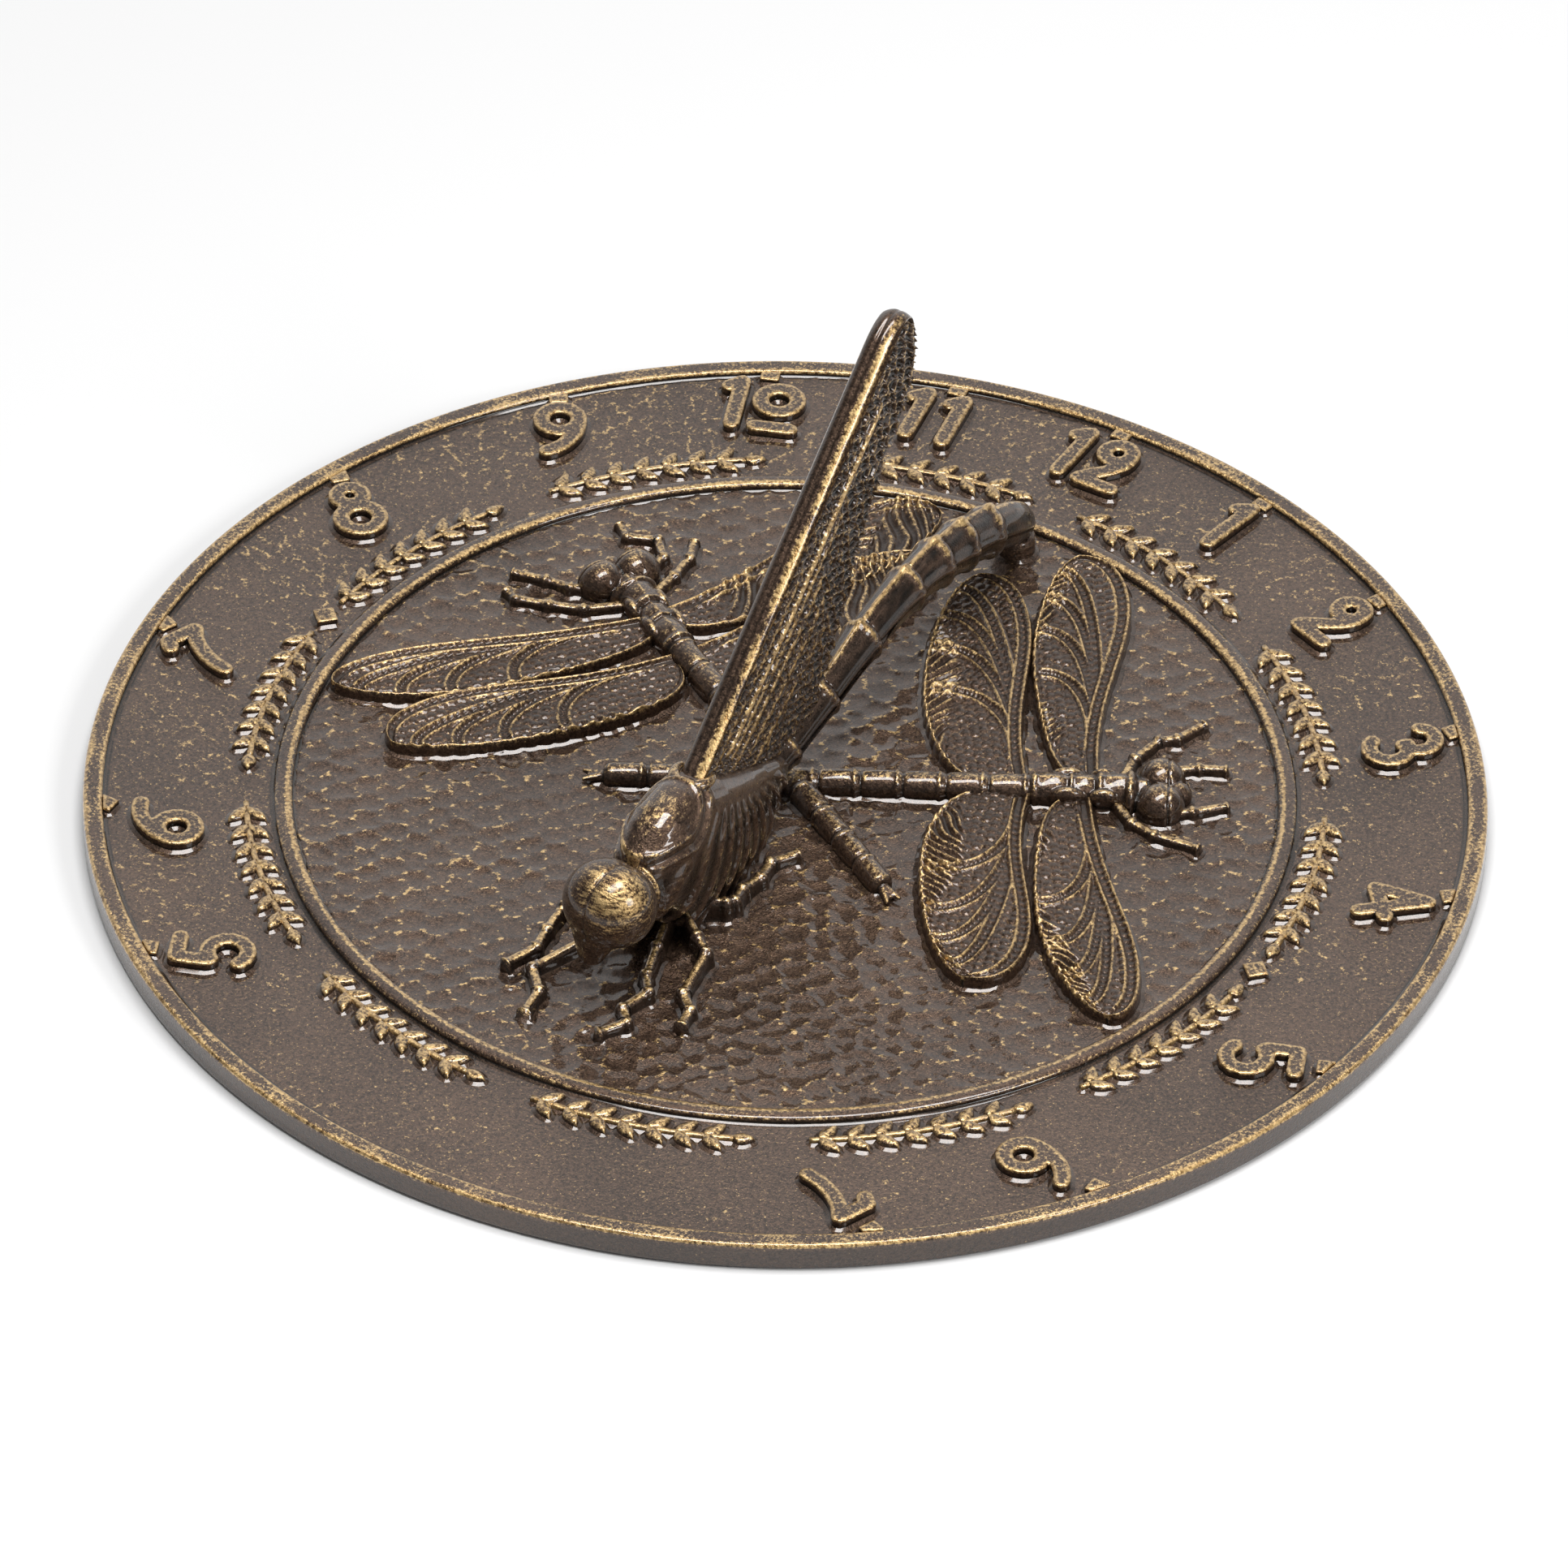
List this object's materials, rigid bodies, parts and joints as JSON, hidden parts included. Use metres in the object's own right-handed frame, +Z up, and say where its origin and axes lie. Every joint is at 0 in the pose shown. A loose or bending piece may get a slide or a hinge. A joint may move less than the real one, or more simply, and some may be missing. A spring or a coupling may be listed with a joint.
{
  "type": "garden sundial",
  "caption": "Round horizontal garden sundial with an hour ring, dragonflies in relief and a standing dragonfly whose folded wings carry the style edge.",
  "frame": {"origin": "centre of the plate, on the surface that it rests on", "axes": "+Z up, square to the plate; +Y along the noon line, to the noon mark; +X to the afternoon side"},
  "size_m": [0.305, 0.305, 0.109],
  "materials": {
    "dial_plate": "dark bronze lacquer on cast metal",
    "inner_ring": "dark bronze lacquer rubbed to brass on what stands proud",
    "hour_marks": "dark bronze lacquer rubbed to brass on what stands proud",
    "hour_numerals": "dark bronze lacquer rubbed to brass on what stands proud",
    "band_sprays": "dark bronze lacquer rubbed to brass on what stands proud",
    "quarter_studs": "dark bronze lacquer rubbed to brass on what stands proud",
    "west_dragonfly_wings": "dark bronze lacquer on cast metal",
    "west_dragonfly_body": "dark bronze lacquer rubbed to brass on what stands proud",
    "west_dragonfly_legs": "dark bronze lacquer rubbed to brass on what stands proud",
    "east_dragonfly_wings": "dark bronze lacquer on cast metal",
    "east_dragonfly_body": "dark bronze lacquer rubbed to brass on what stands proud",
    "east_dragonfly_legs": "dark bronze lacquer rubbed to brass on what stands proud",
    "gnomon_legs": "dark bronze lacquer rubbed to brass on what stands proud",
    "gnomon_body": "dark bronze lacquer on cast metal",
    "gnomon_head": "dark bronze lacquer rubbed to brass on what stands proud",
    "gnomon_wings": "dark bronze lacquer on cast metal",
    "gnomon_screws": "bright zinc-plated steel"
  },
  "bodies": {
    "root": {"dial_plate": "dial_plate", "inner_ring": "inner_ring", "hour_marks": "hour_marks", "hour_numerals": "hour_numerals", "band_sprays": "band_sprays", "quarter_studs": "quarter_studs", "west_dragonfly_wings": "west_dragonfly_wings", "west_dragonfly_body": "west_dragonfly_body", "west_dragonfly_legs": "west_dragonfly_legs", "east_dragonfly_wings": "east_dragonfly_wings", "east_dragonfly_body": "east_dragonfly_body", "east_dragonfly_legs": "east_dragonfly_legs", "gnomon_legs": "gnomon_legs", "gnomon_body": "gnomon_body", "gnomon_head": "gnomon_head", "gnomon_wings": "gnomon_wings", "gnomon_screws": "gnomon_screws"}
  },
  "joints": []
}
